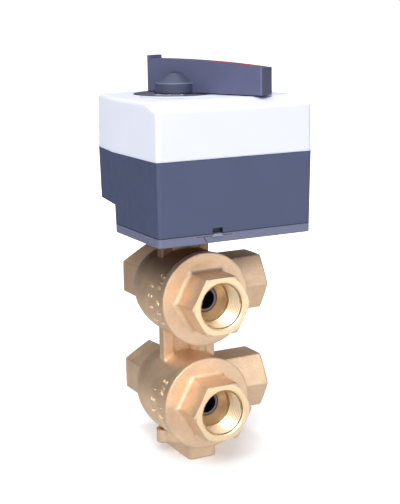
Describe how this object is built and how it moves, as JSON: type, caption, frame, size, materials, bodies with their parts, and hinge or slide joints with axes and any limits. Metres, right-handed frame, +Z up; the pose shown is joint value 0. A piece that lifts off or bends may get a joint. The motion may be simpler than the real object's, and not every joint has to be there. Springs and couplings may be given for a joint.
{
  "type": "motorised valve",
  "caption": "Motorised six-port ball valve: two stacked three-port brass ball valves on one stem under a rotary actuator with a hand lever.",
  "frame": {"origin": "on the stem axis, level with the underside of the foot", "axes": "+Z up along the stem towards the lever, +X towards the side ports, -Y towards the front ports"},
  "size_m": [0.098, 0.1096, 0.2381],
  "materials": {
    "brass_cast": "bead-blasted casting",
    "brass_turned": "machined",
    "chrome": "polished",
    "seat_plastic": "smooth",
    "insert_plastic": "smooth",
    "seal_rubber": "matte",
    "steel": "turned",
    "bracket_plastic": "moulded, fine texture",
    "base_plastic": "moulded, satin",
    "case_dark": "moulded, satin",
    "case_white": "moulded, satin",
    "dial_dark": "moulded, printed marks",
    "lever_dark": "moulded, satin",
    "inlay_red": "moulded, satin",
    "gear_plastic": "moulded",
    "bush_plastic": "turned",
    "motor_steel": "plated",
    "board_green": "coated",
    "component_black": "moulded",
    "terminal_grey": "moulded"
  },
  "bodies": {
    "valve": {"valve_body": "brass_cast", "port_inserts": "insert_plastic", "upper_end_piece": "brass_turned", "lower_end_piece": "brass_turned", "upper_end_gasket": "seal_rubber", "lower_end_gasket": "seal_rubber", "adapter": "bracket_plastic", "mounting_screws": "steel", "base_plate": "base_plastic", "housing": "case_dark", "cable_grommets": "seal_rubber", "top_cover": "case_white", "dial": "dial_dark", "base_bush": "brass_turned", "cover_bush": "brass_turned", "gear_pin": "steel", "motor": "motor_steel", "gear_plate": "steel", "plate_posts": "steel", "board_posts": "bush_plastic", "plate_screws": "steel", "motor_screws": "steel", "board_screws": "steel", "limit_switches": "component_black", "circuit_board": "board_green", "terminal_block": "terminal_grey", "board_parts": "component_black", "lower_front_seat": "seat_plastic", "lower_side_seat": "seat_plastic", "lower_rear_seat": "seat_plastic", "upper_front_seat": "seat_plastic", "upper_side_seat": "seat_plastic", "upper_rear_seat": "seat_plastic"},
    "drive": {"stem": "steel", "link_shaft": "steel", "stem_seals": "seal_rubber", "link_seals": "seal_rubber", "thrust_washer": "bush_plastic", "upper_ball": "chrome", "lower_ball": "chrome", "output_sleeve": "bush_plastic", "output_gear": "gear_plastic", "gear_clip": "steel", "switch_cam": "gear_plastic", "lever": "lever_dark", "lever_inlay": "inlay_red"},
    "intermediate": {"intermediate_gear": "gear_plastic"},
    "motor_rotor": {"motor_pinion": "steel"}
  },
  "joints": [
    {"name": "valve_turn", "type": "hinge", "parent": "valve", "child": "drive", "pos_m": [0, 0, 0.15], "axis": [0, 0, 1], "range_deg": [0, 90]},
    {"name": "intermediate_turn", "type": "hinge", "parent": "valve", "child": "intermediate", "pos_m": [-0.016, -0.02771, 0.19], "axis": [0, 0, 1], "range_deg": [-270, 0]},
    {"name": "rotor_turn", "type": "hinge", "parent": "valve", "child": "motor_rotor", "pos_m": [0.00655, -0.03592, 0.188], "axis": [0, 0, 1], "range_deg": [0, 810]}
  ],
  "couplings": [
    {"joint": "intermediate_turn", "follows": "valve_turn", "ratio": -3},
    {"joint": "rotor_turn", "follows": "valve_turn", "ratio": 9}
  ]
}
